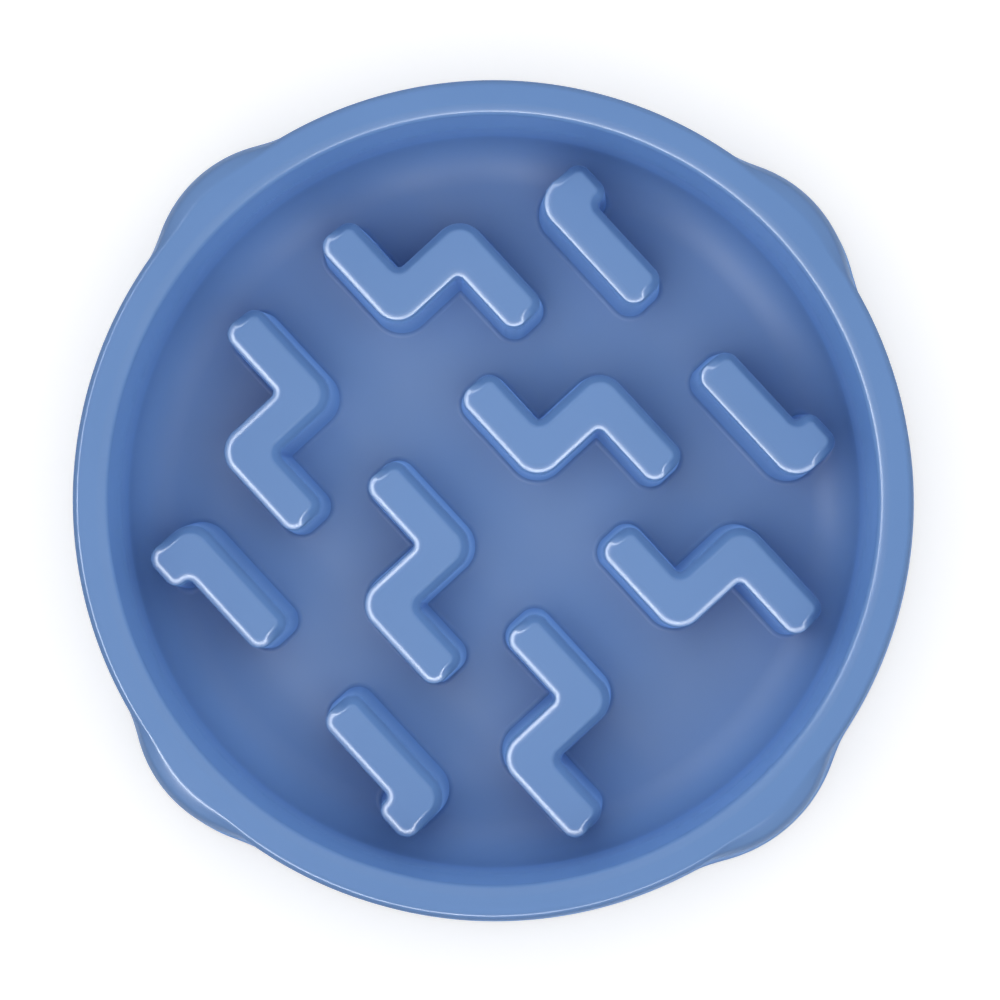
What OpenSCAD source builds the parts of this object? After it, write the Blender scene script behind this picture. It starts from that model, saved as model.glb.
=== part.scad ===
// Slow feeder bowl: one moulded shell with ten hollow ridges on its floor,
// standing on four rubber feet that push into posts under its lobes.
// Lengths are millimetres. The bowl stands on Z = 0 with its middle at X = Y = 0.

/* [Bowl] */
// Height from the table to the top of the rim
bowl_height = 50; // [40:1:70]
// Outside radius of the rim
rim_r = 108; // [95:1:130]
// Width of the rim from its outer edge to where its inner edge is rounded
rim_w = 6; // [4.2:0.1:9]
// Rounding of the inner edge of the rim
rim_in_round = 3.2; // [1:0.1:5]
// Rounding of the outer edge of the rim
rim_out_round = 1.8; // [0.5:0.1:2.4]
// Thickness of every moulded wall
wall = 2.4; // [1.6:0.1:3.5]
// Height of the floor's top face above the table
floor_z = 10; // [8:0.5:16]
// Radius of the sweep between the floor and the inner wall
floor_sweep = 12; // [4:0.5:20]
// Draft of the inner wall in degrees
inner_draft = 2; // [0.5:0.5:8]

/* [Skirt] */
// How far the skirt's lower edge stands out from the rim
skirt_out = 7; // [3:0.5:20]
// Height of the skirt's lower edge above the table
skirt_lift = 2.4; // [1:0.1:5]

/* [Lobes] */
// How far the four lobes stand out from the skirt at their lower edge
lobe_out = 5; // [2:0.5:12]
// Radius of a lobe at its lower edge
lobe_r = 42; // [26:1:60]
// How far a lobe's shoulder stands out from the rim
lobe_top_out = 4.8; // [3.6:0.1:7]
// How far a lobe widens the flat top of the rim
lobe_flat = 0.7; // [0:0.1:1]
// Rounding between that flat and the sloping shoulder
lobe_round = 3.6; // [3.6:0.1:5]
// Lean of the shoulder from upright in degrees
lobe_lean = 45; // [35:1:60]

/* [Ridges] */
// Height of the ridges above the floor
ridge_h = 28; // [15:1:36]
// Width of a ridge at its top, before its edges are rounded
ridge_w = 11.6; // [8:0.1:16]
// Rounding of the top edges
ridge_round = 2.3; // [0.8:0.1:3.5]
// Draft of the ridge walls in degrees
ridge_draft = 2.5; // [0.5:0.5:6]
// Rounding of the ridge ends, seen from above
end_round = 3.8; // [2:0.1:5.5]
// Rounding of the outside of a bend, seen from above
elbow_round = 6.9; // [3:0.1:10]
// Rounding of the inside of a bend, seen from above
notch_round = 1.8; // [1.5:0.1:5]

/* [Ridge pattern] */
// Turn of lobes and ridges against the X axis in degrees
pattern_turn = -45; // [-90:1:90]
// Distance from one zigzag to the next along a row
zigzag_pitch = 54.4; // [45:0.1:70]
// Half of a zigzag's length
zigzag_half = 25.8; // [18:0.1:32]
// Distance of the zigzags' inner legs from the middle line
leg_near = 16.9; // [12:0.1:25]
// Distance of the zigzags' outer legs from the middle line
leg_far = 39.2; // [30:0.1:50]
// Sideways step of the cross legs, opposite in the two rows
cross_step = 1.1; // [0:0.1:4]
// Distance of the short bars from the middle line
bar_row = 66.5; // [58:0.1:75]
// Distance from the pattern's middle to the near end of a bar
bar_near = 11.9; // [5:0.1:20]
// Distance from the pattern's middle to the far end of a bar
bar_far = 50.5; // [40:0.1:60]
// How far a bar's hook stands out from the bar
hook_out = 4.9; // [3:0.1:12]

/* [Feet] */
// Distance of a foot's middle from the tip of its lobe
foot_in = 12; // [11:0.1:16]
// Diameter of a foot's head
foot_d = 16; // [10:0.5:20]
// Height of a foot's head
foot_head_h = 3.4; // [2.6:0.1:6]
// Rounding of the head's lower edge
foot_round = 1; // [0.3:0.1:1.6]
// Diameter of the dimple that grips the table
dimple_d = 8; // [4:0.5:12]
// Depth of that dimple
dimple_h = 0.8; // [0.2:0.1:1.5]
// Diameter of the stem
stem_d = 7; // [5:0.1:8]
// Length of the stem above the head
stem_h = 8; // [5:0.5:9]
// Lead-in at the tip of the stem
stem_lead = 1; // [0.4:0.1:2]
// Clearance between stem and bore, on the radius
stem_gap = 0.1; // [0.05:0.05:0.4]
// Outside diameter of the post that holds a foot
post_d = 11.6; // [10:0.1:13]
// Depth of the bore in a post
bore_h = 9.5; // [9:0.5:13]
// Thickness of the rib that ties a post to the lobe
rib_w = 2; // [1.2:0.1:3]
// Height of that rib's lower edge above the post's end
rib_lift = 2; // [0:0.5:8]

/* [Hidden] */
$fn = 144;
overrun = 1;

// fineness of the curves
arc_steps = 6;
sweep_steps = 10;
end_steps = 5;
elbow_steps = 6;
notch_steps = 4;
edge_steps = 4;
corner_turn = 90;

// the bowl is drawn with its lobes on the axes and then turned
lobe_turn = 90;
lobe_count = 4;

// rim and skirt: the skirt's face is tangent to the rim's outer rounding
rim_flat_r = rim_r - rim_w;
rim_edge_r = rim_r - rim_out_round;
rim_edge_z = bowl_height - rim_out_round;
skirt_r = rim_r + skirt_out;
skirt_fall = rim_edge_z - skirt_lift;
skirt_run = skirt_r - rim_edge_r;
skirt_tilt = acos(rim_out_round / norm([skirt_run, skirt_fall])) - atan2(skirt_fall, skirt_run);
skirt_slope = tan(skirt_tilt);

// the inside of the bowl
wall_top = bowl_height - rim_in_round;
inner_slope = tan(inner_draft);
wall_r = rim_flat_r - rim_in_round;
sweep_z = floor_z + floor_sweep;
sweep_r = wall_r - (wall_top - sweep_z) * inner_slope - floor_sweep / cos(inner_draft);

// lobes
lobe_reach = skirt_r + lobe_out;
lobe_centre = lobe_reach - lobe_r;
lobe_slope = tan(lobe_lean);
lobe_top_r = rim_edge_r + lobe_flat - lobe_centre;
lobe_top_z = bowl_height - lobe_round;
shoulder_r = rim_r + lobe_top_out - lobe_centre;
shoulder_z = face_z(0) - (shoulder_r - face_r(0)) / lobe_slope;
lobe_side_slope = (lobe_r - shoulder_r) / (shoulder_z - skirt_lift);

// ridges
ridge_top = floor_z + ridge_h;
half_w = ridge_w / 2;
edge_turn = corner_turn - ridge_draft;
edge_in = ridge_round * tan(edge_turn / 2);
ridge_foot = floor_z - overrun;
ridge_slope = tan(ridge_draft);

// the hook's inner corner leaves room for the notch beside it
hook_tip = bar_row + half_w + hook_out;
hook_round = min(end_round, hook_out - notch_round);

// kinds of corner of a ridge's outline: rounding and steps
END = [end_round, end_steps];
HOOK = [hook_round, end_steps];
ELBOW = [elbow_round, elbow_steps];
NOTCH = [notch_round, notch_steps];

// feet
foot_place = lobe_reach - foot_in;
bore_r = stem_d / 2 + stem_gap;
post_r = post_d / 2;
foot_r = foot_d / 2;
stem_r = stem_d / 2;

// points of an arc, round (x, y)
function arc(x, y, r, from, to, steps) =
    [for (i = [0 : steps]) let (a = from + (to - from) * i / steps) [x + r * cos(a), y + r * sin(a)]];

// outline of a ridge on the level that stands off by "off" from its top outline
function direction(p, q) = (q - p) / norm(q - p);
function turn(a, b) = sign(a[0] * b[1] - a[1] * b[0]);
function corner(before, here, after, kind, off) =
    let (
        come = direction(before, here),
        go = direction(here, after),
        side = turn(come, go),
        centre = here + kind[0] * (go - come),
        from = atan2(-come[0], come[1]),
        r = side * kind[0] + off
    )
    [for (i = [0 : kind[1]]) let (a = from + side * corner_turn * i / kind[1]) centre + r * [cos(a), sin(a)]];
function outline(path, off) =
    let (n = len(path))
    [for (i = [0 : n - 1]) each corner(
        path[(i + n - 1) % n][0], path[i][0], path[(i + 1) % n][0], path[i][1], off)];

// levels of a ridge from its foot to its flat top: height and how far the outline stands off
function ridge_levels() = concat(
    [[ridge_foot, (ridge_top - ridge_foot) * ridge_slope]],
    [for (i = [0 : edge_steps]) let (a = edge_turn * (1 - i / edge_steps))
        [ridge_top - ridge_round * (1 - cos(a)), ridge_round * sin(a) - edge_in]]
);

// a solid through one outline per level
module loft(path, levels) {
    rings = [for (l = levels) [for (p = outline(path, l[1])) [p[0], p[1], l[0]]]];
    n = len(rings[0]);
    m = len(rings);
    sides = [for (k = [0 : m - 2]) for (i = [0 : n - 1]) let (j = (i + 1) % n)
        [k * n + i, (k + 1) * n + i, (k + 1) * n + j, k * n + j]];
    base = [for (i = [0 : n - 1]) i];
    top = [for (i = [0 : n - 1]) m * n - 1 - i];
    polyhedron(points = [for (r = rings) each r], faces = concat([base], sides, [top]));
}

// a zigzag: two legs along the row, joined by a cross leg
function zigzag(middle, cross) =
    let (
        left = middle - zigzag_half,
        right = middle + zigzag_half,
        near = leg_near,
        far = leg_far
    )
    [
        [[left, near - half_w], END],
        [[cross + half_w, near - half_w], ELBOW],
        [[cross + half_w, far - half_w], NOTCH],
        [[right, far - half_w], END],
        [[right, far + half_w], END],
        [[cross - half_w, far + half_w], ELBOW],
        [[cross - half_w, near + half_w], NOTCH],
        [[left, near + half_w], END]
    ];

// a short bar with the stub of a cross leg at its far end
function bar() =
    [
        [[bar_near, bar_row - half_w], END],
        [[bar_far, bar_row - half_w], ELBOW],
        [[bar_far, hook_tip], END],
        [[bar_far - ridge_w, hook_tip], HOOK],
        [[bar_far - ridge_w, bar_row + half_w], NOTCH],
        [[bar_near, bar_row + half_w], END]
    ];

// every ridge in its place: three zigzags and two bars on each side of the middle line
module each_ridge(hollow) {
    for (far_side = [0, 1])
        mirror([0, far_side, 0]) {
            step = far_side == 1 ? cross_step : -cross_step;
            for (k = [-1 : 1])
                ridge(zigzag(k * zigzag_pitch, k * zigzag_pitch + step), hollow);
            for (flip = [0, 1])
                mirror([flip, 0, 0])
                    ridge(bar(), hollow);
        }
}

module at_lobes() {
    for (k = [0 : lobe_count - 1])
        rotate([0, 0, k * lobe_turn])
            children();
}

// upper end of a shoulder's sloping face, on the lobe drawn in by "inset"
function face_r(inset) = lobe_top_r + (lobe_round - inset) * cos(lobe_lean);
function face_z(inset) = lobe_top_z + (lobe_round - inset) * sin(lobe_lean);

// one ridge, or the hollow that is cored out of it from below
module ridge(path, hollow) {
    if (hollow)
        translate([0, 0, floor_z - wall - overrun])
            linear_extrude(height = ridge_h + overrun)
                polygon(outline(path, -wall));
    else
        loft(path, ridge_levels());
}

// outside of the bowl, drawn in by "inset" on every side
module envelope(inset) {
    low = skirt_lift - (inset > 0 ? overrun : 0);
    top = bowl_height - inset;
    round_r = rim_out_round - inset;
    low_r = skirt_r - inset + (skirt_lift - low) * skirt_slope;
    top_r = skirt_r - inset - (top - skirt_lift) * skirt_slope;
    lobe_low_r = lobe_r - inset + (skirt_lift - low) * lobe_side_slope;
    fall = (lobe_r - inset - face_r(inset) - (face_z(inset) - skirt_lift) * lobe_side_slope)
        / (lobe_slope - lobe_side_slope);
    edge = round_r > 0
        ? arc(rim_edge_r, rim_edge_z, round_r, skirt_tilt, corner_turn, arc_steps)
        : [[top_r, top]];
    rotate_extrude()
        polygon(concat([[0, low], [low_r, low]], edge, [[0, top]]));
    at_lobes()
        translate([lobe_centre, 0, 0])
            rotate_extrude()
                polygon(concat(
                    [
                        [0, low],
                        [lobe_low_r, low],
                        [face_r(inset) + fall * lobe_slope, face_z(inset) - fall]
                    ],
                    arc(lobe_top_r, lobe_top_z, lobe_round - inset, lobe_lean, corner_turn, edge_steps),
                    [[0, top]]));
}

// the tub that the inner wall and the floor are cut from
module tub() {
    r = floor_sweep + wall;
    top = bowl_height - wall / 2;
    top_r = sweep_r + r / cos(inner_draft) + (top - sweep_z) * inner_slope;
    rotate_extrude()
        polygon(concat(
            [[0, floor_z - wall]],
            arc(sweep_r, sweep_z, r, -corner_turn, -inner_draft, sweep_steps),
            [[top_r, top], [0, top]]));
}

// the space for the food
module food_space() {
    rotate_extrude()
        polygon(concat(
            [[0, floor_z]],
            arc(sweep_r, sweep_z, floor_sweep, -corner_turn, -inner_draft, sweep_steps),
            arc(rim_flat_r, wall_top, rim_in_round, 2 * corner_turn - inner_draft, corner_turn, arc_steps),
            [[rim_flat_r, bowl_height + overrun], [0, bowl_height + overrun]]));
}

// posts and ribs that hold the feet, kept inside the skirt
module posts() {
    intersection() {
        envelope(wall / 2);
        at_lobes() {
            translate([foot_place, 0, foot_head_h])
                cylinder(h = rim_edge_z - foot_head_h, r = post_r);
            translate([foot_place, -rib_w / 2, foot_head_h + rib_lift])
                cube([lobe_reach - foot_place, rib_w, rim_edge_z - foot_head_h - rib_lift]);
        }
    }
}

module bores() {
    at_lobes()
        translate([foot_place, 0, foot_head_h - overrun])
            cylinder(h = bore_h + overrun, r = bore_r);
}

module bowl() {
    color([0.36, 0.55, 0.78])
        rotate([0, 0, pattern_turn])
        difference() {
            union() {
                difference() {
                    union() {
                        difference() {
                            envelope(0);
                            envelope(wall);
                        }
                        tub();
                    }
                    food_space();
                }
                each_ridge(false);
                posts();
            }
            each_ridge(true);
            bores();
        }
}

// a rubber foot: a head with a gripping dimple and a stem that pushes into the post
module foot(lobe) {
    color([0.16, 0.17, 0.18])
        rotate([0, 0, pattern_turn + lobe * lobe_turn])
            translate([foot_place, 0, 0])
                rotate_extrude()
                    polygon(concat(
                        [[0, dimple_h], [dimple_d / 2 - dimple_h, dimple_h], [dimple_d / 2, 0]],
                        arc(foot_r - foot_round, foot_round, foot_round, -corner_turn, 0, arc_steps),
                        [
                            [foot_r, foot_head_h],
                            [stem_r, foot_head_h],
                            [stem_r, foot_head_h + stem_h - stem_lead],
                            [stem_r - stem_lead, foot_head_h + stem_h],
                            [0, foot_head_h + stem_h]
                        ]));
}

module foot_front_right() {
    foot(0);
}

module foot_back_right() {
    foot(1);
}

module foot_back_left() {
    foot(2);
}

module foot_front_left() {
    foot(3);
}

bowl();
foot_front_left();
foot_front_right();
foot_back_left();
foot_back_right();
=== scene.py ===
"""A moulded slow feeder bowl with zigzag ridges, on rubber feet, seen from above on a pale floor."""

import math

import bpy
import numpy as np
from mathutils import Matrix, Vector, geometry


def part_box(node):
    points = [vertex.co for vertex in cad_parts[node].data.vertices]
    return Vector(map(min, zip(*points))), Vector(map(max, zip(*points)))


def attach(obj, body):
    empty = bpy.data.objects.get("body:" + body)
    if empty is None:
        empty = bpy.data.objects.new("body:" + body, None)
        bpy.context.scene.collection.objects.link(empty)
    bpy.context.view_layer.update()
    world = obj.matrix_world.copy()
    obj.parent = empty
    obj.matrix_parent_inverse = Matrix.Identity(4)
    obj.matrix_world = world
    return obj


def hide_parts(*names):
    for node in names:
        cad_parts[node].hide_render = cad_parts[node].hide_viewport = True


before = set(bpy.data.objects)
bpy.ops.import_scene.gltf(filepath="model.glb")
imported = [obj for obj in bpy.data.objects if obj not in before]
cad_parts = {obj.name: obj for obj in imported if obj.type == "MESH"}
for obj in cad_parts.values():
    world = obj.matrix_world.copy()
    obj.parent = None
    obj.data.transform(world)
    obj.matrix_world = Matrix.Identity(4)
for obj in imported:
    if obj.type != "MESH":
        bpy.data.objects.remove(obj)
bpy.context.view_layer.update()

# lengths are in millimetres, unless a comment says otherwise, and the meshes are written in metres
MM = 0.001
LOW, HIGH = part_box("bowl")
SKIRT_R = HIGH.x / MM
SKIRT_LIFT = LOW.z / MM
TOP_Z = HIGH.z / MM

# sizes of the CAD model: the tub, its lobes, the ridges, their pattern, and the feet with their posts
RIM_R = 108.0
RIM_FLAT_R = 102.0
RIM_IN_ROUND = 3.2
RIM_OUT_ROUND = 1.8
WALL = 2.4
FLOOR_Z = 10.0
FLOOR_SWEEP = 12.0
INNER_DRAFT = math.radians(2)

LOBE_REACH = 120.0
LOBE_R = 42.0
LOBE_TOP_OUT = 4.8
LOBE_FLAT = 0.7
LOBE_BLEND = 2.0
LOBE_COUNT = 4

RIDGE_H = 28.0
RIDGE_W = 11.6
RIDGE_ROUND = 2.3
RIDGE_DRAFT = math.radians(2.5)
RIDGE_BASE_ROUND = 1.4
END_ROUND = 3.8
ELBOW_ROUND = 6.9
NOTCH_ROUND = 1.8

PATTERN_TURN = math.radians(-45)
PITCH = 54.4
ZIGZAG_HALF = 25.8
LEG_NEAR = 16.9
LEG_FAR = 39.2
CROSS_STEP = 1.1
BAR_ROW = 66.5
BAR_NEAR = 11.9
BAR_FAR = 50.5
HOOK_OUT = 4.9

FOOT_PLACE = 108.0
FOOT_R = 8.0
FOOT_HEAD = 3.4
FOOT_ROUND = 1.0
DIMPLE_R = 4.0
DIMPLE_H = 0.8
STEM_R = 3.5
STEM_H = 8.0
STEM_LEAD = 1.0
STEM_GAP = 0.1
POST_R = 5.8
BORE_H = 9.5
RIB_W = 2.0
RIB_LIFT = 2.0

# a bevelled rounding: the slopes in degrees between which it is flatter, its radius there, and above
NEAR_BEVEL = (13, 22, 8.0, 5.6)
FAR_BEVEL = (48, 54, 14.0, 1.3)
RIM_BEVEL = (13, 22, 8.0, 4.4)
# width of the rounding round a ridge's top, and how much its shading leans to the front left
RIDGE_EDGE_RUN = 2.8
EDGE_LEAN = 1.1
# a lobe's shoulder: slopes in degrees and radii of its rounding, which ends in a sloping face
SHOULDER_ARCS = ((0, 13, 5.4), (13, 22, 17.0), (22, 45, 3.0))
SHOULDER_BLEND = 1.6
SHOULDER_DEEP = 7.0

# small roundings that only show close up
EDGE_ROUND = 0.8
COVE_ROUND = 0.8
HOLLOW_EDGE = 0.5
HOLLOW_COVE = 0.9
POST_EDGE = 0.4

# fineness of the meshes: steps round the bowl, a foot and a post, and along the surfaces' profiles
ROUND_STEPS = 512
FOOT_STEPS = 96
POST_STEPS = 64
SWEEP_STEPS = 12
WALL_STEPS = 8
RIM_STEPS = 12
SHOULDER_STEPS = 14
SKIRT_STEPS = 14
SKIRT_INNER_STEPS = 16
EDGE_STEPS = 6
TUB_STEPS = 6
UNDER_SWEEP_STEPS = 14
COVE_STEPS = 4
POST_WALL_STEPS = 12
BASE_STEPS = 7
RIDGE_WALL_STEPS = 5
HOLLOW_EDGE_STEPS = 3
# the floor's triangles: spacing of their points, rings on its sweep, and the gap left round a ridge
OUTLINE_STEP = 2.0
FLOOR_GRID = 4.0
UNDER_GRID = 8.0
SWEEP_RINGS = 6
GRID_GAP = 1.0
# the steps of a bevelled rounding: above its bevel, on it and below it
BEVEL_STEPS = (4, 5, 6)
# points closer than the last of these decimals are welded
WELD_DECIMALS = 4
TINY = 1e-6

RIGHT = math.pi / 2
RIDGE_TOP = FLOOR_Z + RIDGE_H
HALF_W = RIDGE_W / 2
EDGE_IN = RIDGE_ROUND * math.tan((RIGHT - RIDGE_DRAFT) / 2)
LOBE_CENTRE = LOBE_REACH - LOBE_R
LOBE_TOP_R = RIM_R - RIM_OUT_ROUND + LOBE_FLAT - LOBE_CENTRE
SHOULDER_R = RIM_R + LOBE_TOP_OUT - LOBE_CENTRE
WALL_TOP = TOP_Z - RIM_IN_ROUND
SWEEP_Z = FLOOR_Z + FLOOR_SWEEP
SWEEP_X = (RIM_FLAT_R - RIM_IN_ROUND - (WALL_TOP - SWEEP_Z) * math.tan(INNER_DRAFT)
           - FLOOR_SWEEP / math.cos(INNER_DRAFT))

# the floor round the ridges is filled in out to these radii, and the rest is swept round the axis
FLOOR_DISC = 94.8
UNDER_DISC = 90.4

# the skirt's face is tangent to the rim's outer rounding
RIM_EDGE = (RIM_R - RIM_OUT_ROUND, TOP_Z - RIM_OUT_ROUND)
SKIRT_RUN = SKIRT_R - RIM_EDGE[0]
SKIRT_FALL = RIM_EDGE[1] - SKIRT_LIFT
SKIRT_TILT = (math.acos(RIM_OUT_ROUND / math.hypot(SKIRT_RUN, SKIRT_FALL))
              - math.atan2(SKIRT_FALL, SKIRT_RUN))

THETA = np.arange(ROUND_STEPS) * 2 * math.pi / ROUND_STEPS


class Shape:
    """Points, normals and faces of one mesh, gathered patch by patch and welded at the end."""

    def __init__(self):
        self.points = []
        self.normals = []
        self.faces = []
        self.count = 0

    def add(self, points, normals, faces):
        """Adds a patch and turns its faces to the side that their normals point to."""
        points = np.asarray(points, float).reshape(-1, 3)
        normals = np.asarray(normals, float).reshape(-1, 3)
        normals = normals / np.linalg.norm(normals, axis=1)[:, None]
        for face in faces:
            a, b, c = (points[face[k]] for k in (0, 1, 2))
            facing = np.dot(np.cross(b - a, c - a), normals[list(face)].sum(0))
            if len(face) == 4 and abs(facing) < TINY:
                facing = np.dot(np.cross(c - a, points[face[3]] - a), normals[list(face)].sum(0))
            turned = face if facing >= 0 else face[::-1]
            self.faces.append([int(i) + self.count for i in turned])
        self.points.append(points)
        self.normals.append(normals)
        self.count += len(points)

    def rings(self, rows, normals):
        """Adds the surface through closed rings of equally many points."""
        n = len(rows[0])
        faces = []
        for k in range(len(rows) - 1):
            for i in range(n):
                j = (i + 1) % n
                faces.append((k * n + i, k * n + j, (k + 1) * n + j, (k + 1) * n + i))
        self.add(np.concatenate(rows), np.concatenate(normals), faces)

    def make(self, name):
        """The scene's object, in metres, with the patches welded and their normals kept."""
        points = np.concatenate(self.points)
        normals = np.concatenate(self.normals)
        _, first, merged = np.unique(
            np.round(points, WELD_DECIMALS), axis=0, return_index=True, return_inverse=True)
        merged = merged.reshape(-1)
        faces = []
        corners = []
        for face in self.faces:
            ids = [int(merged[i]) for i in face]
            kept = [k for k in range(len(ids)) if ids[k] != ids[k - 1]]
            if len(kept) > 2:
                faces.append([ids[k] for k in kept])
                corners.extend(face[k] for k in kept)
        mesh = bpy.data.meshes.new(name)
        mesh.from_pydata((points[first] * MM).tolist(), [], faces)
        mesh.polygons.foreach_set("use_smooth", np.ones(len(mesh.polygons), bool))
        mesh.normals_split_custom_set(normals[corners].tolist())
        mesh.update()
        piece = bpy.data.objects.new(name, mesh)
        bpy.context.scene.collection.objects.link(piece)
        return piece


def stepped(start, end, steps):
    """Evenly stepped values from start to end, with both."""
    return [start + (end - start) * k / steps for k in range(steps + 1)]


def bevelled_arc(width, draft, bevel):
    """Rounding from a wall up to a flat: run and drop from the flat's edge, and slope in radians.

    The bevel is the slopes between which it is flatter, the radius there and the radius above;
    the radius below follows from the width.
    """
    start, end = math.radians(bevel[0]), math.radians(bevel[1])
    middle, upper = bevel[2:]
    last = RIGHT - draft
    run = upper * math.sin(start) + middle * (math.sin(end) - math.sin(start))
    lower = (width - run) / (math.sin(last) - math.sin(end))
    stretches = [(0, start, upper), (start, end, middle), (end, last, lower)]
    places = [(0.0, 0.0, 0.0)]
    for (a, b, r), steps in zip(stretches, BEVEL_STEPS):
        run, drop, _ = places[-1]
        for slope in stepped(a, b, steps)[1:]:
            out = run + r * (math.sin(slope) - math.sin(a))
            down = drop + r * (math.cos(a) - math.cos(slope))
            places.append((out, down, slope))
    return places


def smooth_max(a, b, width):
    """The larger of two values, blended where they differ by less than width."""
    gap = np.clip(width - np.abs(a - b), 0, None)
    return np.maximum(a, b) + gap * gap / (4 * width)


def shoulder_run(drop):
    """How far a shoulder has run out from the lobe's flat top where it has dropped by drop.

    The run and the fall of its whole rounding follow.
    """
    run, fall = 0.0, 0.0
    out = 0 * drop
    for start, end, r in SHOULDER_ARCS:
        a, b = math.radians(start), math.radians(end)
        depth = r * (math.cos(a) - math.cos(b))
        slope = np.arccos(np.clip(math.cos(a) - (drop - fall) / r, math.cos(b), math.cos(a)))
        out = np.where(drop >= fall, run + r * (np.sin(slope) - math.sin(a)), out)
        run += r * (math.sin(b) - math.sin(a))
        fall += depth
    return np.where(drop > fall, run + (drop - fall) / math.tan(b), out), run, fall


SHOULDER_RUN, SHOULDER_FALL = shoulder_run(np.zeros(1))[1:]
SHOULDER_Z = TOP_Z - SHOULDER_FALL - (SHOULDER_R - LOBE_TOP_R - SHOULDER_RUN)
LOBE_SLOPE = (LOBE_R - SHOULDER_R) / (SHOULDER_Z - SKIRT_LIFT)


def lobe_radius(z, inset):
    """Radius of a lobe round its own axis at a height."""
    side = LOBE_R - inset - (z - SKIRT_LIFT) * LOBE_SLOPE
    face = LOBE_TOP_R + shoulder_run(np.maximum(TOP_Z - inset - z, 0))[0]
    return -smooth_max(-side, -face, SHOULDER_BLEND)


def rim_radius(z, inset):
    """Radius of the skirt at a height, with the rim's outer rounding above it."""
    r = RIM_OUT_ROUND if inset == 0 else 0.0
    above = np.clip(z - RIM_EDGE[1], 0, r)
    rounding = RIM_EDGE[0] + np.sqrt(r ** 2 - above ** 2)
    skirt = SKIRT_R - (z - SKIRT_LIFT) * math.tan(SKIRT_TILT) - inset
    return np.where((inset == 0) & (z > RIM_EDGE[1] + r * math.sin(SKIRT_TILT)), rounding, skirt)


def skirt_radius(theta, z, inset=0.0):
    """Radius of the skirt and its four lobes, drawn in by inset."""
    off_axis = np.mod(theta, RIGHT) - RIGHT / 2
    inside = lobe_radius(z, inset) ** 2 - (LOBE_CENTRE * np.sin(off_axis)) ** 2
    lobe = np.where(inside > 0, LOBE_CENTRE * np.cos(off_axis) + np.sqrt(np.maximum(inside, 0)), 0)
    return smooth_max(rim_radius(z, inset), lobe, LOBE_BLEND)


def skirt_tilt(theta, z, inset=0.0):
    """Angle of the skirt's outward normal above the horizontal."""
    step = 0.002
    fall = skirt_radius(theta, z - step, inset) - skirt_radius(theta, z + step, inset)
    return np.arctan2(fall, 2 * step)


def floor_height(x, y, drop=0.0):
    """Height of the floor's top face, or of its underside with drop = WALL, at a point in the bowl."""
    out = np.clip(np.hypot(x, y) - SWEEP_X, 0, None)
    r = FLOOR_SWEEP + drop
    return SWEEP_Z - np.sqrt(np.maximum(r ** 2 - out ** 2, 0))


def floor_normal(x, y, drop=0.0):
    """Normal of the same face."""
    radius = np.maximum(np.hypot(x, y), TINY)
    out = np.clip(radius - SWEEP_X, 0, None)
    r = FLOOR_SWEEP + drop
    return np.stack([-out * x / radius, -out * y / radius, np.sqrt(r ** 2 - out ** 2)], -1) / r


class Turned:
    """Rows of a surface round the Z axis; a row's radius and height may vary with the angle."""

    def __init__(self):
        self.rows = []

    def row(self, r, z, angle):
        """Adds a row; angle is its normal's angle above the horizontal, in a plane through the axis."""
        ones = np.ones(ROUND_STEPS)
        self.rows.append((r * ones, z * ones, angle * ones))

    def end(self):
        """Radius and height of the last row, where it is round and level."""
        r, z, _ = self.rows[-1]
        return r[0], z[0]

    def arc(self, x, z, r, start, end, steps, hollow=False):
        """Adds the rows of an arc round a centre at radius x and height z."""
        for a in stepped(start, end, steps):
            self.row(x + r * np.cos(a), z + r * np.sin(a), a + (math.pi if hollow else 0))

    def add_to(self, shape):
        """Adds the surface to a shape, with normals that follow how radius and height vary."""
        points = []
        normals = []
        c, s = np.cos(THETA), np.sin(THETA)
        # the angle between a point's two neighbours
        span = 4 * math.pi / ROUND_STEPS
        for r, z, angle in self.rows:
            dr = (np.roll(r, -1) - np.roll(r, 1)) / span
            dz = (np.roll(z, -1) - np.roll(z, 1)) / span
            along = np.stack([dr * c - r * s, dr * s + r * c, dz], -1)
            up = np.stack([-np.sin(angle) * c, -np.sin(angle) * s, np.cos(angle)], -1)
            points.append(np.stack([r * c, r * s, z], -1))
            normals.append(np.cross(along, up))
        shape.rings(points, normals)


# direction across the rows, towards the front left
ACROSS = np.array([math.sin(PATTERN_TURN), -math.cos(PATTERN_TURN)])

END, HOOK, ELBOW, NOTCH = "end", "hook", "elbow", "notch"
CORNER_STEPS = {END: 10, HOOK: 10, ELBOW: 12, NOTCH: 8}


def corner_round(kind, off):
    """Rounding of a corner; a notch widens towards the floor, and the hook beside it leaves it room."""
    notch = max(NOTCH_ROUND, off + HOLLOW_EDGE)
    hook = min(END_ROUND, HOOK_OUT - notch)
    return {END: END_ROUND, HOOK: hook, ELBOW: ELBOW_ROUND, NOTCH: notch}[kind]


# a corner's last value is 1 on the side of the ridge that faces the front left, and 0 on the other
def zigzag(middle, cross):
    """Corners of a zigzag: two legs along the row, joined by a cross leg."""
    left, right = middle - ZIGZAG_HALF, middle + ZIGZAG_HALF
    near, far = LEG_NEAR, LEG_FAR
    return [
        (left, near - HALF_W, END, 1), (cross + HALF_W, near - HALF_W, ELBOW, 1),
        (cross + HALF_W, far - HALF_W, NOTCH, 1), (right, far - HALF_W, END, 1),
        (right, far + HALF_W, END, 0), (cross - HALF_W, far + HALF_W, ELBOW, 0),
        (cross - HALF_W, near + HALF_W, NOTCH, 0), (left, near + HALF_W, END, 0),
    ]


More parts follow.
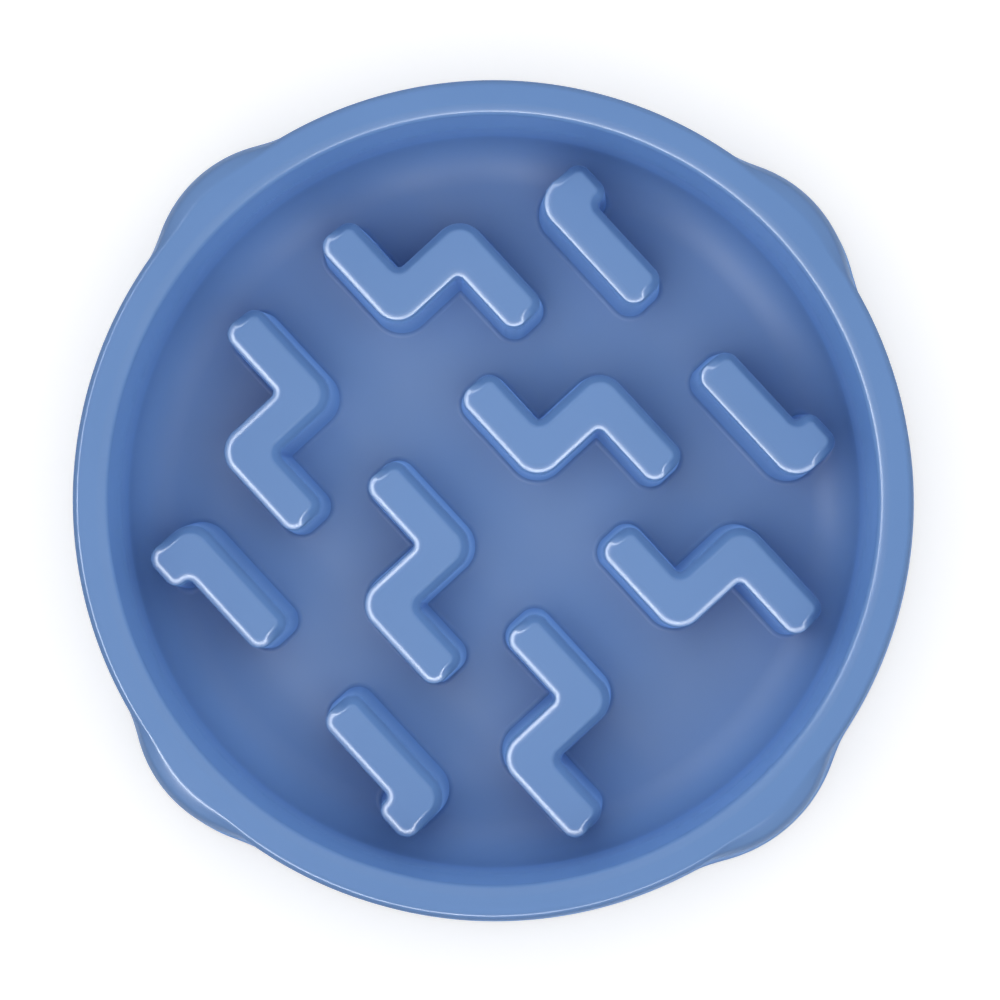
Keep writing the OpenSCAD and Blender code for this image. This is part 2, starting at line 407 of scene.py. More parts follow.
def bar():
    """Corners of a short bar with the stub of a cross leg at its far end."""
    tip = BAR_ROW + HALF_W + HOOK_OUT
    return [
        (BAR_NEAR, BAR_ROW - HALF_W, END, 1), (BAR_FAR, BAR_ROW - HALF_W, ELBOW, 1),
        (BAR_FAR, tip, END, 0), (BAR_FAR - RIDGE_W, tip, HOOK, 0),
        (BAR_FAR - RIDGE_W, BAR_ROW + HALF_W, NOTCH, 0), (BAR_NEAR, BAR_ROW + HALF_W, END, 0),
    ]


def mirrored(path, across_u, across_v):
    """The path mirrored in either axis, still running anticlockwise."""
    flipped = [(-u if across_u else u, -v if across_v else v, kind, 1 - near if across_v else near)
               for u, v, kind, near in path]
    return flipped if across_u == across_v else flipped[::-1]


def ridge_paths():
    """The outlines of all ten ridges: three zigzags and two bars on each side of the middle."""
    for side in (False, True):
        step = CROSS_STEP if side else -CROSS_STEP
        for k in (-1, 0, 1):
            yield mirrored(zigzag(k * PITCH, k * PITCH + step), False, side)
        for flip in (False, True):
            yield mirrored(bar(), flip, side)


def outline(path, off):
    """Points and outward normals of a ridge's outline that stands off from its top outline by off."""
    corners = [np.array(p[:2]) for p in path]
    n = len(path)
    points = []
    normals = []
    for i, (_, _, kind, _) in enumerate(path):
        come = corners[i] - corners[i - 1]
        go = corners[(i + 1) % n] - corners[i]
        come, go = come / np.linalg.norm(come), go / np.linalg.norm(go)
        side = np.sign(come[0] * go[1] - come[1] * go[0])
        r = corner_round(kind, off)
        centre = corners[i] + r * (go - come)
        start = math.atan2(-come[0], come[1])
        for a in stepped(start, start + side * RIGHT, CORNER_STEPS[kind]):
            normal = np.array([math.cos(a), math.sin(a)])
            points.append(centre + (side * r + off) * normal)
            normals.append(normal)
    # the straights are divided alike at every level, by the length of the top outline's sides
    full = []
    turned = []
    at = 0
    for i, (_, _, kind, _) in enumerate(path):
        arc = CORNER_STEPS[kind] + 1
        full.extend(points[at:at + arc])
        turned.extend(normals[at:at + arc])
        at += arc
        here, after = points[at - 1], points[at % len(points)]
        parts = max(1, round(np.linalg.norm(corners[(i + 1) % n] - corners[i]) / OUTLINE_STEP))
        for k in range(1, parts):
            full.append(here + (after - here) * k / parts)
            turned.append(normals[at - 1])
    c, s = math.cos(PATTERN_TURN), math.sin(PATTERN_TURN)
    turn = np.array([[c, s], [-s, c]])
    return np.array(full) @ turn, np.array(turned) @ turn


def near_share(path):
    """For each point of an outline, 1 on the ridge's near side, 0 on its far side, blended between."""
    share = []
    for i, (u, v, kind, near) in enumerate(path):
        after = path[(i + 1) % len(path)]
        parts = max(1, round(math.hypot(after[0] - u, after[1] - v) / OUTLINE_STEP))
        share += [near] * (CORNER_STEPS[kind] + 1)
        share += [near + (after[3] - near) * k / parts for k in range(1, parts)]
    return np.array(share, float)


def level(path, off, z, angle):
    """A ring along a ridge's outline, and its normals, which stand at angle above the horizontal."""
    points, out = outline(path, off)
    ring = np.column_stack([points, np.full(len(points), z)])
    normals = np.column_stack([out * math.cos(angle), np.full(len(points), math.sin(angle))])
    return ring, normals


def ridge_rings(path):
    """Rings of a ridge from the floor up to its flat top."""
    rings = []
    normals = []
    slope = math.tan(RIDGE_DRAFT)
    flare = RIDGE_H * slope
    foot, out = outline(path, flare)
    base, _ = outline(path, flare + RIDGE_BASE_ROUND)
    start, _ = outline(path, (RIDGE_H - RIDGE_BASE_ROUND) * slope)
    ends = np.column_stack([base, floor_height(*base.T)])
    bends = np.column_stack([foot, floor_height(*foot.T)])
    starts = np.column_stack([start, floor_height(*foot.T) + RIDGE_BASE_ROUND])
    # the fillet at the foot is a rational curve, close to a quarter of a circle
    weight = math.cos(RIGHT / 2)
    floor = floor_normal(*base.T)
    side = np.column_stack([out * math.cos(RIDGE_DRAFT), np.full(len(out), math.sin(RIDGE_DRAFT))])
    for t in stepped(0, 1, BASE_STEPS):
        a, b, c = (1 - t) ** 2, 2 * t * (1 - t) * weight, t * t
        ring = (a * ends + b * bends + c * starts) / (a + b + c)
        turn = math.sin(t * RIGHT), math.cos(t * RIGHT)
        rings.append(ring)
        normals.append(side * turn[0] + floor * turn[1])
    near = near_share(path)[:, None]
    near_arc = bevelled_arc(RIDGE_EDGE_RUN, RIDGE_DRAFT, NEAR_BEVEL)
    far_arc = bevelled_arc(RIDGE_EDGE_RUN, RIDGE_DRAFT, FAR_BEVEL)
    edge = []
    for near_place, far_place in zip(near_arc, far_arc):
        edge.append(near * np.array(near_place) + (1 - near) * np.array(far_place))
    edge_out = RIDGE_ROUND * math.cos(RIDGE_DRAFT) - EDGE_IN
    low = starts[:, 2]
    high = RIDGE_TOP - edge[-1][:, 1]
    top_start, _ = outline(path, edge_out)
    for t in stepped(0, 1, RIDGE_WALL_STEPS)[1:-1]:
        rings.append(np.column_stack([start + (top_start - start) * t, low + (high - low) * t]))
        normals.append(side)
    # the near edges' shading leans to the front left, so that one bright line runs along the side
    lean = out + EDGE_LEAN * near * (1 - np.abs(out @ ACROSS))[:, None] * ACROSS
    lean /= np.linalg.norm(lean, axis=1)[:, None]
    for run, drop, slope in (e.T for e in edge[::-1]):
        off = run - RIDGE_EDGE_RUN + edge_out
        rings.append(np.column_stack([top_start + (off - edge_out)[:, None] * out, RIDGE_TOP - drop]))
        normals.append(np.column_stack([lean * np.sin(slope)[:, None], np.cos(slope)]))
    return rings, normals


def hollow_rings(path):
    """Rings of the hollow under a ridge, from the floor's underside up to its flat end."""
    rings = []
    normals = []
    top = RIDGE_TOP - WALL
    for a in stepped(-RIGHT, 0, HOLLOW_EDGE_STEPS):
        off = HOLLOW_EDGE * (1 - math.cos(a)) - WALL
        points, _ = outline(path, off)
        z = floor_height(*points.T, WALL) + HOLLOW_EDGE * (1 + math.sin(a))
        ring, normal = level(path, off, z, a)
        rings.append(ring)
        normals.append(normal * np.array([-1, -1, 1]))
    for a in stepped(0, RIGHT, COVE_STEPS):
        off = HOLLOW_COVE * (math.cos(a) - 1) - WALL
        ring, normal = level(path, off, top - HOLLOW_COVE * (1 - math.sin(a)), a)
        rings.append(ring)
        normals.append(-normal)
    return rings, normals


# the kind of triangulation that keeps to the inside of its outlines
INSIDE_ONLY = 1


def fill(shape, outer, holes, grid, height, normal):
    """Fills the region between an outer outline and holes with triangles, lifted by height."""
    loops = [outer] + [[tuple(p) for p in hole] for hole in holes]
    flat = [p for loop in loops for p in loop]
    edges = []
    faces = []
    start = 0
    for loop in loops:
        ids = list(range(start, start + len(loop)))
        edges.extend((ids[i], ids[(i + 1) % len(ids)]) for i in range(len(ids)))
        faces.append(ids)
        start += len(loop)
    flat.extend(grid)
    made, _, triangles, source, _, regions = geometry.delaunay_2d_cdt(
        [Vector(p) for p in flat], edges, faces, INSIDE_ONLY, TINY, True)
    at = np.array([flat[s[0]] if s else tuple(p) for p, s in zip(made, source)])
    kept = [t for t, region in zip(triangles, regions) if list(region) == [0]]
    used = sorted({i for t in kept for i in t})
    new = {old: k for k, old in enumerate(used)}
    at = at[used]
    faces = [tuple(new[i] for i in t) for t in kept]
    shape.add(np.column_stack([at, height(*at.T)]), normal(*at.T), faces)


def inner_grid(radius, step):
    """Grid points inside a circle, with rings of them towards its edge where the floor sweeps up."""
    points = []
    rows = int(radius / step) + 1
    for i in range(-rows, rows + 1):
        for j in range(-rows, rows + 1):
            x = (j + (i % 2) / 2) * step
            y = i * step * math.sqrt(3) / 2
            if math.hypot(x, y) < SWEEP_X - step / 2:
                points.append((x, y))
    count = ROUND_STEPS // 2
    turns = np.arange(count) * 2 * math.pi / count
    for r in stepped(SWEEP_X, radius, SWEEP_RINGS)[:-1]:
        points.extend((r * math.cos(a), r * math.sin(a)) for a in turns)
    return points


def clear_of(points, loops, gap):
    """The points that lie outside every loop and more than gap from it."""
    points = np.array(points)
    keep = np.ones(len(points), bool)
    for loop in loops:
        inside = np.zeros(len(points), bool)
        for p, q in zip(loop, np.roll(loop, -1, axis=0)):
            d = q - p
            t = np.clip(((points - p) @ d) / max(d @ d, TINY), 0, 1)
            keep &= np.linalg.norm(points - p - t[:, None] * d, axis=1) > gap
            crosses = (p[1] > points[:, 1]) != (q[1] > points[:, 1])
            if crosses.any():
                x = p[0] + (points[crosses, 1] - p[1]) * d[0] / d[1]
                inside[crosses] ^= points[crosses, 0] < x
        keep &= ~inside
    return [tuple(p) for p in points[keep]]


def circle(r):
    """Points of a circle round the Z axis."""
    return [(r * c, r * s) for c, s in zip(np.cos(THETA), np.sin(THETA))]


def flat_cap(shape, ring, facing):
    """Closes a ring of points at one height."""
    z = ring[0][2]
    fill(shape, [tuple(p[:2]) for p in ring], [], [],
         lambda x, y: np.full(len(x), z), lambda x, y: np.tile([0.0, 0.0, facing], (len(x), 1)))


def add_ridges(shape, rings_of, facing):
    """Adds the ridges or hollows with their flat ends, and returns their outlines in the floor."""
    holes = []
    for path in ridge_paths():
        rings, normals = rings_of(path)
        shape.rings(rings, normals)
        flat_cap(shape, rings[-1], facing)
        holes.append(rings[0][:, :2])
    return holes


def straight(turned, start, end, steps, angle):
    """Adds the rows strictly between two points of a straight profile."""
    for r, z in list(zip(stepped(start[0], end[0], steps), stepped(start[1], end[1], steps)))[1:-1]:
        turned.row(r, z, angle)


def shell(shape):
    """The ridges, floor, inner wall and rim, the skirt inside and out, and the outside of the tub."""
    holes = add_ridges(shape, ridge_rings, 1.0)
    grid = clear_of(inner_grid(FLOOR_DISC, FLOOR_GRID), holes, GRID_GAP)
    fill(shape, circle(FLOOR_DISC), holes, grid, floor_height, floor_normal)

    turned = Turned()
    low = math.asin((FLOOR_DISC - SWEEP_X) / FLOOR_SWEEP) - RIGHT
    turned.arc(SWEEP_X, SWEEP_Z, FLOOR_SWEEP, low, -INNER_DRAFT, SWEEP_STEPS, hollow=True)
    edge_out = RIM_IN_ROUND * math.cos(INNER_DRAFT)
    edge = bevelled_arc(edge_out, INNER_DRAFT, RIM_BEVEL)[::-1]
    rim_start = RIM_FLAT_R - edge_out, TOP_Z - edge[0][1]
    straight(turned, turned.end(), rim_start, WALL_STEPS, math.pi - INNER_DRAFT)
    for run, drop, slope in edge:
        turned.row(RIM_FLAT_R - run, TOP_Z - drop, RIGHT + slope)
    turned.row((RIM_FLAT_R + RIM_EDGE[0]) / 2, TOP_Z, RIGHT)
    turned.row(skirt_radius(THETA, TOP_Z), TOP_Z, RIGHT)
    low = SKIRT_LIFT + EDGE_ROUND
    drops = [RIM_OUT_ROUND * (1 - math.cos(a)) for a in stepped(0, RIGHT - SKIRT_TILT, RIM_STEPS)[1:]]
    drops += stepped(drops[-1], SHOULDER_DEEP, SHOULDER_STEPS)[1:]
    drops += stepped(SHOULDER_DEEP, TOP_Z - low, SKIRT_STEPS)[1:-1]
    for z in (TOP_Z - drop for drop in drops):
        turned.row(skirt_radius(THETA, z), z, skirt_tilt(THETA, z))
    edge_rows(turned, low)
    inner_skirt(turned)
    turned.add_to(shape)


def edge_rows(turned, low):
    """The rounded lower edge of the skirt, from its outside round to its inside."""
    outer = skirt_radius(THETA, low) - EDGE_ROUND
    inner = skirt_radius(THETA, low, WALL) + EDGE_ROUND
    for a in stepped(skirt_tilt(THETA, low), -RIGHT, EDGE_STEPS):
        turned.row(outer + EDGE_ROUND * np.cos(a), low + EDGE_ROUND * np.sin(a), a)
    for a in stepped(-RIGHT, skirt_tilt(THETA, low, WALL) - 2 * RIGHT, EDGE_STEPS):
        turned.row(inner + EDGE_ROUND * np.cos(a), low + EDGE_ROUND * np.sin(a), a)


def inner_skirt(turned):
    """The inside of the skirt, the rim's underside and the outside of the tub."""
    low = SKIRT_LIFT + EDGE_ROUND
    high = TOP_Z - WALL - COVE_ROUND
    for z in stepped(low, high, SKIRT_INNER_STEPS)[1:-1]:
        turned.row(skirt_radius(THETA, z, WALL), z, skirt_tilt(THETA, z, WALL) + 2 * RIGHT)
    outer = skirt_radius(THETA, high, WALL) - COVE_ROUND
    for a in stepped(0, RIGHT, COVE_STEPS):
        turned.row(outer + COVE_ROUND * np.cos(a), high + COVE_ROUND * np.sin(a), a + 2 * RIGHT)
    sweep = FLOOR_SWEEP + WALL
    tub = (SWEEP_X + sweep / math.cos(INNER_DRAFT) + (high - SWEEP_Z) * math.tan(INNER_DRAFT)
           + COVE_ROUND)
    for a in stepped(RIGHT, 2 * RIGHT - INNER_DRAFT, COVE_STEPS):
        turned.row(tub + COVE_ROUND * math.cos(a), high + COVE_ROUND * math.sin(a), a + 2 * RIGHT)
    sweep_start = SWEEP_X + sweep * math.cos(INNER_DRAFT), SWEEP_Z - sweep * math.sin(INNER_DRAFT)
    straight(turned, turned.end(), sweep_start, TUB_STEPS, -INNER_DRAFT)
    low = math.asin((UNDER_DISC - SWEEP_X) / sweep) - RIGHT
    turned.arc(SWEEP_X, SWEEP_Z, sweep, -INNER_DRAFT, low, UNDER_SWEEP_STEPS)


def underside(shape):
    """The floor's underside and the hollows under the ridges."""
    holes = add_ridges(shape, hollow_rings, -1.0)
    grid = clear_of(inner_grid(UNDER_DISC, UNDER_GRID), holes, GRID_GAP)
    fill(shape, circle(UNDER_DISC), holes, grid,
         lambda x, y: floor_height(x, y, WALL), lambda x, y: -floor_normal(x, y, WALL))


def round_rings(profile, turn, steps):
    """Rings of a round shape at a foot's place.

    The profile gives each ring's radius, its height and its normals' angle above the horizontal.
    A corner that stays sharp stands in it twice, with the angle of each side.
    """
    x = FOOT_PLACE * math.cos(turn)
    y = FOOT_PLACE * math.sin(turn)
    around = np.arange(steps) * 2 * math.pi / steps
    c, s = np.cos(around), np.sin(around)
    rings = []
    normals = []
    for r, z, a in profile:
        rings.append(np.column_stack([x + r * c, y + r * s, np.full(steps, z)]))
        flat, up = math.cos(a), math.sin(a)
        normals.append(np.column_stack([flat * c, flat * s, np.full(steps, up)]))
    return rings, normals


def rounding(r, z, radius, start, end, steps):
    """Profile of an arc round a centre at radius r and height z."""
    angles = stepped(start, end, steps)
    return [(r + radius * math.cos(a), z + radius * math.sin(a), a) for a in angles]


def post(shape, turn):
    """A post with its bore, and the rib that ties it to the lobe, cut off inside the skirt's wall."""
    low, high = FOOT_HEAD, TOP_Z - RIM_OUT_ROUND
    bore_top = FOOT_HEAD + BORE_H
    bore = STEM_R + STEM_GAP
    profile = [(0, bore_top, -RIGHT), (bore, bore_top, -RIGHT)]
    profile += [(bore, bore_top, 2 * RIGHT), (bore, low + POST_EDGE, 2 * RIGHT)]
    profile += [(bore + POST_EDGE, low, -3 * RIGHT / 2), (bore + POST_EDGE, low, -RIGHT)]
    profile += rounding(POST_R - POST_EDGE, low + POST_EDGE, POST_EDGE, -RIGHT, 0, COVE_STEPS)
    profile += [(POST_R, z, 0) for z in stepped(low + POST_EDGE, high, POST_WALL_STEPS)[1:]]
    rings, normals = round_rings(profile, turn, POST_STEPS)
    shape.rings([inside_skirt(ring) for ring in rings], normals)
    rib(shape, turn, low + RIB_LIFT, high)


def inside_skirt(ring):
    """Draws points in to the middle of the skirt's wall where they would stand out of it."""
    x, y, z = ring.T
    limit = skirt_radius(np.arctan2(y, x), z, WALL / 2)
    share = np.minimum(1, limit / np.hypot(x, y))
    return np.column_stack([x * share, y * share, z])


def rib(shape, turn, low, high):
    """The two sides and the lower end of a rib from a post out to the middle of the skirt's wall."""
    out = np.array([math.cos(turn), math.sin(turn)])
    side = np.array([-out[1], out[0]]) * RIB_W / 2
    start = FOOT_PLACE + POST_R - RIB_W / 2
    for sign in (1, -1):
        points = []
        for z in stepped(low, high, POST_WALL_STEPS):
            end = skirt_radius(turn, z, WALL / 2)
            points.append([*(out * start + side * sign), z])
            points.append([*(out * max(end, start) + side * sign), z])
        faces = [(2 * k, 2 * k + 1, 2 * k + 3, 2 * k + 2) for k in range(POST_WALL_STEPS)]
        shape.add(points, np.tile([*(side * sign), 0], (len(points), 1)), faces)
    end = skirt_radius(turn, low, WALL / 2)
    points = [[*(out * r + side * s), low] for r, s in ((start, 1), (end, 1), (end, -1), (start, -1))]
    shape.add(points, np.tile([0.0, 0.0, -1.0], (4, 1)), [(0, 1, 2, 3)])


def bowl():
    """The moulding with its four posts."""
    shape = Shape()
    shell(shape)
    underside(shape)
    for k in range(LOBE_COUNT):
        post(shape, PATTERN_TURN + k * RIGHT)
    return shape.make("bowl_moulding")


def foot(name, turn):
    """A rubber foot: a head with a gripping dimple, and the stem that pushes into its post."""
    top = FOOT_HEAD + STEM_H
    profile = [(0, DIMPLE_H, -RIGHT), (DIMPLE_R - DIMPLE_H, DIMPLE_H, -RIGHT)]
    profile += [(DIMPLE_R - DIMPLE_H, DIMPLE_H, -3 * RIGHT / 2), (DIMPLE_R, 0, -3 * RIGHT / 2)]
    profile += [(DIMPLE_R, 0, -RIGHT)]
    profile += rounding(FOOT_R - FOOT_ROUND, FOOT_ROUND, FOOT_ROUND, -RIGHT, 0, 2 * COVE_STEPS)
    profile += rounding(FOOT_R - POST_EDGE, FOOT_HEAD - POST_EDGE, POST_EDGE, 0, RIGHT, COVE_STEPS)
    profile += [(STEM_R, FOOT_HEAD, RIGHT), (STEM_R, FOOT_HEAD, 0), (STEM_R, top - STEM_LEAD, 0)]
    profile += [(STEM_R, top - STEM_LEAD, RIGHT / 2), (STEM_R - STEM_LEAD, top, RIGHT / 2)]
    profile += [(STEM_R - STEM_LEAD, top, RIGHT), (0, top, RIGHT)]
    shape = Shape()
    shape.rings(*round_rings(profile, turn, FOOT_STEPS))
    return shape.make(name)


# a noise mostly keeps between these values
NOISE_LOW, NOISE_HIGH = 0.3, 0.7


class Nodes:
    """A material's node tree, with short calls for adding and linking nodes."""

    def __init__(self, name):
        self.material = bpy.data.materials.new(name)
        self.material.use_nodes = True
        self.tree = self.material.node_tree
        self.tree.nodes.clear()
        self.output = self.tree.nodes.new("ShaderNodeOutputMaterial")

    def add(self, kind, inputs=None, **settings):
        """Adds a shader node; an input is either a socket, which is linked, or a value."""
        node = self.tree.nodes.new("ShaderNode" + kind)
        for key, value in settings.items():
            setattr(node, key, value)
        for key, value in (inputs or {}).items():
            if isinstance(value, bpy.types.NodeSocket):
                self.tree.links.new(value, node.inputs[key])
            else:
                node.inputs[key].default_value = value
        return node

    def place(self):
        """The place in the piece's own axes, in metres."""
        return self.add("TexCoord").outputs["Object"]

    def noise(self, place, scale, detail=2.0, roughness=0.5):
        """Noise whose scale is in waves per metre."""
        node = self.add("TexNoise", {
            "Vector": place, "Scale": scale, "Detail": detail, "Roughness": roughness,
        })
        return node.outputs["Fac"]

    def math(self, operation, *values):
        """The result of a calculation with numbers or sockets."""
        node = self.add("Math", dict(enumerate(values)), operation=operation)
        return node.outputs[0]

    def mapped(self, value, start, end, low, high):
        """Maps value from start..end to low..high."""
        node = self.add("MapRange", {
            "Value": value, "From Min": start, "From Max": end, "To Min": low, "To Max": high,
        })
        return node.outputs["Result"]

    def spread(self, noise, low, high):
        """Spreads a noise's usual range over low..high."""
        return self.mapped(noise, NOISE_LOW, NOISE_HIGH, low, high)

    def mix(self, factor, a, b):
        """Mixes two colours."""
        node = self.add("Mix", data_type="RGBA")
        for socket, value in (("Factor_Float", factor), ("A_Color", a), ("B_Color", b)):
            target = next(s for s in node.inputs if s.identifier == socket)
            if isinstance(value, bpy.types.NodeSocket):
                self.tree.links.new(value, target)
            else:
                target.default_value = value
        return next(s for s in node.outputs if s.identifier == "Result_Color")

    def finish(self, shader):
        """Links the shader and returns the material."""
        self.tree.links.new(shader, self.output.inputs["Surface"])
        return self.material


# the plastic's colours, and its roughness on smooth parts
BLUE_DEEP = (0.114, 0.233, 0.495, 1)
BLUE_LIGHT = (0.122, 0.245, 0.515, 1)
SHEEN_BLUE = (0.24, 0.49, 1.0, 1)
SMOOTHEST, ROUGHEST = 0.205, 0.245
# heights in metres between which the plastic gets rougher towards the floor, and by how much
SCUFF_TOP, SCUFF_BOTTOM = 0.034, 0.016
SCUFF_ROUGHER = 0.4
# fine specks break up the scuffed part's upper edge, over this height in metres
SPECK_HEIGHT = 0.024

RUBBER_DEEP = (0.020, 0.020, 0.022, 1)
RUBBER_LIGHT = (0.034, 0.034, 0.036, 1)
RUBBER_SMOOTHEST, RUBBER_ROUGHEST = 0.66, 0.82

# the floor's grey, and the light that it adds for the camera alone
FLOOR_GREY = (0.80, 0.80, 0.80, 1)
FLOOR_GLOW = 0.50
WHITE = (1, 1, 1, 1)


def satin_plastic():
    """Moulded polypropylene with a satin sheen and a very fine mould texture."""
    nodes = Nodes("satin_blue_plastic")
    place = nodes.place()
    cloud = nodes.noise(place, scale=18, detail=3)
    grain = nodes.noise(place, scale=2600, detail=2)
    ripple = nodes.noise(place, scale=240, detail=3, roughness=0.55)
    colour = nodes.mix(nodes.spread(cloud, 0.0, 1.0), BLUE_DEEP, BLUE_LIGHT)
    height = nodes.add("SeparateXYZ", {"Vector": place}).outputs["Z"]
    specks = nodes.noise(place, scale=9000, detail=2)
    speckled = nodes.math("MULTIPLY_ADD", specks, SPECK_HEIGHT, height)
    # the specks lift the height by half their range on average
    lift = SPECK_HEIGHT / 2
    scuffed = nodes.mapped(speckled, SCUFF_TOP + lift, SCUFF_BOTTOM + lift, 0.0, SCUFF_ROUGHER)
    patchy = nodes.spread(nodes.noise(place, scale=55, detail=4, roughness=0.6), SMOOTHEST, ROUGHEST)
    rough = nodes.math("ADD", patchy, scuffed)
    coarse = nodes.add("Bump", {"Height": ripple, "Strength": 0.02, "Distance": 0.0002})
    fine = nodes.add("Bump", {
        "Height": grain, "Strength": 0.10, "Distance": 0.00005, "Normal": coarse.outputs["Normal"],
    })
    shader = nodes.add("BsdfPrincipled", {
        "Base Color": colour, "Roughness": rough, "IOR": 1.49, "Normal": fine.outputs["Normal"],
        "Sheen Weight": 0.8, "Sheen Roughness": 0.35, "Sheen Tint": SHEEN_BLUE,
    })
    return nodes.finish(shader.outputs["BSDF"])


def rubber():
    """Dull dark rubber with a fine grain."""
    nodes = Nodes("dark_rubber")
    place = nodes.place()
    cloud = nodes.noise(place, scale=120, detail=4)
    grain = nodes.noise(place, scale=3200, detail=3, roughness=0.6)
    colour = nodes.mix(nodes.spread(cloud, 0.0, 1.0), RUBBER_DEEP, RUBBER_LIGHT)
    rough = nodes.spread(nodes.noise(place, scale=400, detail=3), RUBBER_SMOOTHEST, RUBBER_ROUGHEST)
    bump = nodes.add("Bump", {"Height": grain, "Strength": 0.35, "Distance": 0.0001})
    shader = nodes.add("BsdfPrincipled", {
        "Base Color": colour, "Roughness": rough, "IOR": 1.5, "Normal": bump.outputs["Normal"],
    })
    return nodes.finish(shader.outputs["BSDF"])


def paper_floor():
    """Pale floor: it takes the object's shadow and shows the camera a near-white."""
    nodes = Nodes("pale_floor")
    diffuse = nodes.add("BsdfDiffuse", {"Color": FLOOR_GREY})
    seen = nodes.add("LightPath").outputs["Is Camera Ray"]
    strength = nodes.math("MULTIPLY", seen, FLOOR_GLOW)
    glow = nodes.add("Emission", {"Color": WHITE, "Strength": strength})
    both = nodes.add("AddShader", {0: diffuse.outputs[0], 1: glow.outputs[0]})
    return nodes.finish(both.outputs[0])


def paint(piece, material):
    """Gives a piece its one material."""
    piece.data.materials.clear()
    piece.data.materials.append(material)


# each foot's quarter turns round the bowl from the front right
FEET = {"foot_front_right": 0, "foot_back_right": 1, "foot_back_left": 2, "foot_front_left": 3}

moulding = bowl()
paint(moulding, satin_plastic())
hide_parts("bowl")
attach(moulding, "root")

rubber_material = rubber()
for node, quarter in FEET.items():
    piece = foot("rubber_" + node, PATTERN_TURN + quarter * RIGHT)
    paint(piece, rubber_material)
    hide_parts(node)
    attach(piece, "root")


# the floor is wide enough to fill every view: half its side, in metres
HALF_FLOOR = 4.0
plane = bpy.data.meshes.new("floor")
corners = [(x * HALF_FLOOR, y * HALF_FLOOR, 0) for x, y in ((-1, -1), (1, -1), (1, 1), (-1, 1))]
plane.from_pydata(corners, [], [(0, 1, 2, 3)])
floor = bpy.data.objects.new("floor", plane)
bpy.context.scene.collection.objects.link(floor)
paint(floor, paper_floor())

# world: strengths near the horizon, in a brighter ring half way up and above it, and in reflections
HORIZON = 0.5
RING = 1.5
ZENITH = 0.1
MIRRORED_SKY = 0.7
# the ring's edges, as the height of a direction of length 1, and half the width of their blend
RING_LOW, RING_HIGH = 0.52, 0.74
RING_BLEND = 0.06
world = bpy.data.worlds.new("studio")
bpy.context.scene.world = world
world.use_nodes = True
sky = world.node_tree
sky.nodes.clear()


def sky_range(value, low, high, start=0.0, end=1.0, kind="LINEAR"):
    """Maps value from start..end to low..high, each a number or a socket."""
    node = sky.nodes.new("ShaderNodeMapRange")
    node.interpolation_type = kind
    inputs = {"Value": value, "From Min": start, "From Max": end, "To Min": low, "To Max": high}
    for name, given in inputs.items():
        if isinstance(given, bpy.types.NodeSocket):
            sky.links.new(given, node.inputs[name])
        else:
            node.inputs[name].default_value = given
    return node.outputs["Result"]


rays = sky.nodes.new("ShaderNodeLightPath").outputs
direction = sky.nodes.new("ShaderNodeSeparateXYZ")
sky.links.new(sky.nodes.new("ShaderNodeTexCoord").outputs["Generated"], direction.inputs[0])
height = direction.outputs["Z"]
ring = sky_range(height, HORIZON, RING, RING_LOW - RING_BLEND, RING_LOW + RING_BLEND, "SMOOTHSTEP")
whole = sky_range(height, ring, ZENITH, RING_HIGH - RING_BLEND, RING_HIGH + RING_BLEND, "SMOOTHSTEP")
lit = sky_range(rays["Is Glossy Ray"], whole, MIRRORED_SKY)
background = sky.nodes.new("ShaderNodeBackground")
background.inputs["Color"].default_value = WHITE
sky.links.new(sky_range(rays["Is Camera Ray"], lit, 1.0), background.inputs["Strength"])
sky.links.new(background.outputs[0], sky.nodes.new("ShaderNodeOutputWorld").inputs[0])


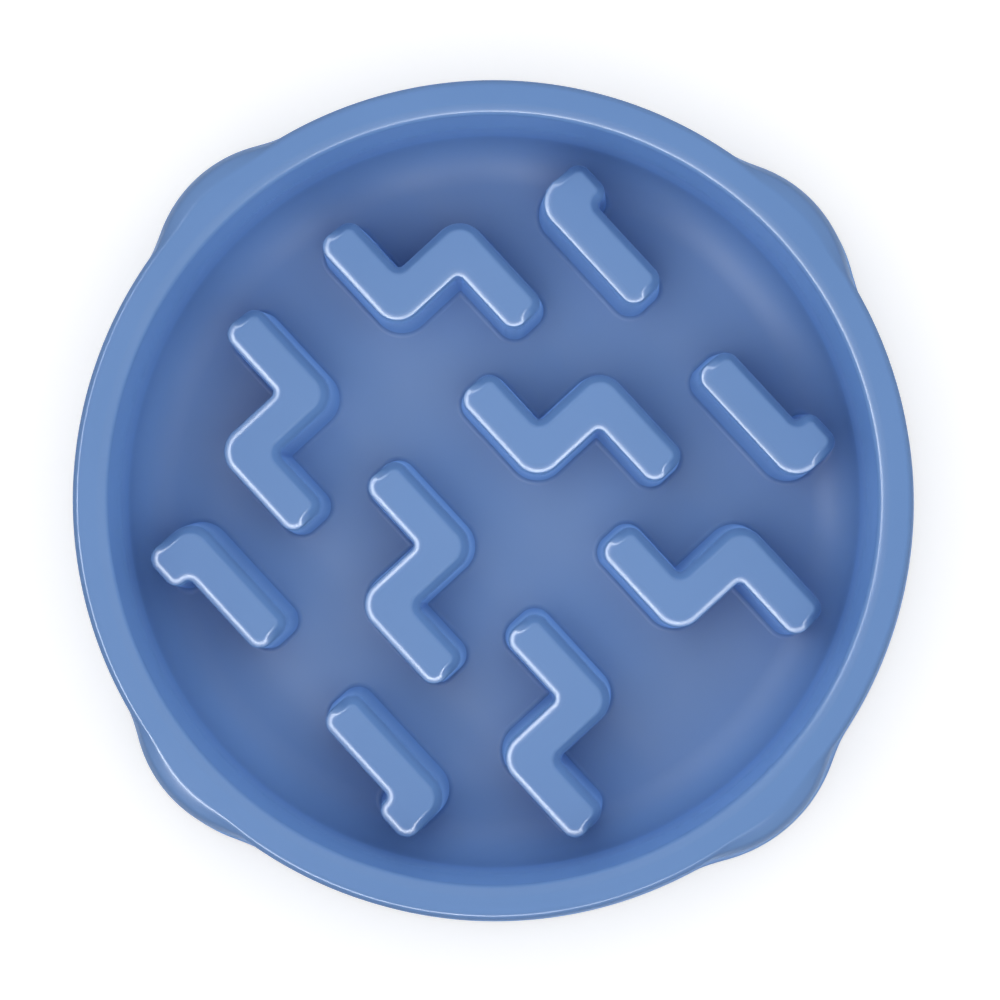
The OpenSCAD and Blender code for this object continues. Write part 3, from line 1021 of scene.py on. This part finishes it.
# the lights' places and sizes are in metres, and their power is in watts
def softbox(name, azimuth, elevation, distance, width, height, power):
    """An area light that faces the bowl; azimuth, anticlockwise from +X, and elevation in degrees."""
    a, e = math.radians(azimuth), math.radians(elevation)
    place = Vector((math.cos(a) * math.cos(e), math.sin(a) * math.cos(e), math.sin(e))) * distance
    data = bpy.data.lights.new(name, "AREA")
    data.shape = "RECTANGLE"
    data.size = width
    data.size_y = height
    data.energy = power
    lamp = bpy.data.objects.new(name, data)
    lamp.location = place + Vector((0, 0, TOP_Z * MM))
    lamp.rotation_euler = (-place).to_track_quat("-Z", "Y").to_euler()
    bpy.context.scene.collection.objects.link(lamp)
    return lamp


# a soft lamp over the middle lights the inner wall from inside, and it isn't seen or mirrored
LAMP_RADIUS = 0.14
LAMP_POWER = 1.65
LAMP_HEIGHT = 0.28
lamp_data = bpy.data.lights.new("over_middle", "POINT")
lamp_data.shadow_soft_size = LAMP_RADIUS
lamp_data.energy = LAMP_POWER
over_middle = bpy.data.objects.new("over_middle", lamp_data)
over_middle.location = (0, 0, LAMP_HEIGHT)
over_middle.visible_camera = False
over_middle.visible_glossy = False
bpy.context.scene.collection.objects.link(over_middle)

# a band of narrow lights above the front left draws the bright lines along the edges, and no more:
# each one's azimuth and power, and their elevation, distance and size
EDGE_LIGHTS = ((165, 2.6), (195, 4.5), (225, 4.4), (255, 4.5), (285, 3.4))
EDGE_ELEVATION = 54
EDGE_DISTANCE = 1.2
EDGE_WIDTH, EDGE_HEIGHT = 0.40, 0.17
for k, (azimuth, power) in enumerate(EDGE_LIGHTS):
    light = softbox(f"edge_{k}", azimuth, EDGE_ELEVATION, EDGE_DISTANCE, EDGE_WIDTH, EDGE_HEIGHT, power)
    light.visible_diffuse = False

# camera: nearly straight above, and rolled a little as the photograph's was
CAMERA_PLACE = (10.0, -10.0, 710.0)
CAMERA_AIM = (2.02, -0.12, 50.0)
CAMERA_LENS = 92.74
CAMERA_ROLL = math.radians(2.4)
camera_data = bpy.data.cameras.new("camera")
camera_data.lens = CAMERA_LENS
camera_data.sensor_width = 36.0
camera_data.clip_start = 0.01
camera = bpy.data.objects.new("camera", camera_data)
bpy.context.scene.collection.objects.link(camera)
eye = Vector(CAMERA_PLACE) * MM
aim = Vector(CAMERA_AIM) * MM
back = (eye - aim).normalized()
up = Vector((-math.sin(CAMERA_ROLL), math.cos(CAMERA_ROLL), 0))
right = up.cross(back).normalized()
up = back.cross(right)
camera.matrix_world = Matrix.Translation(eye) @ Matrix((right, up, back)).transposed().to_4x4()
bpy.context.scene.camera = camera
bpy.context.scene.view_settings.view_transform = "Standard"
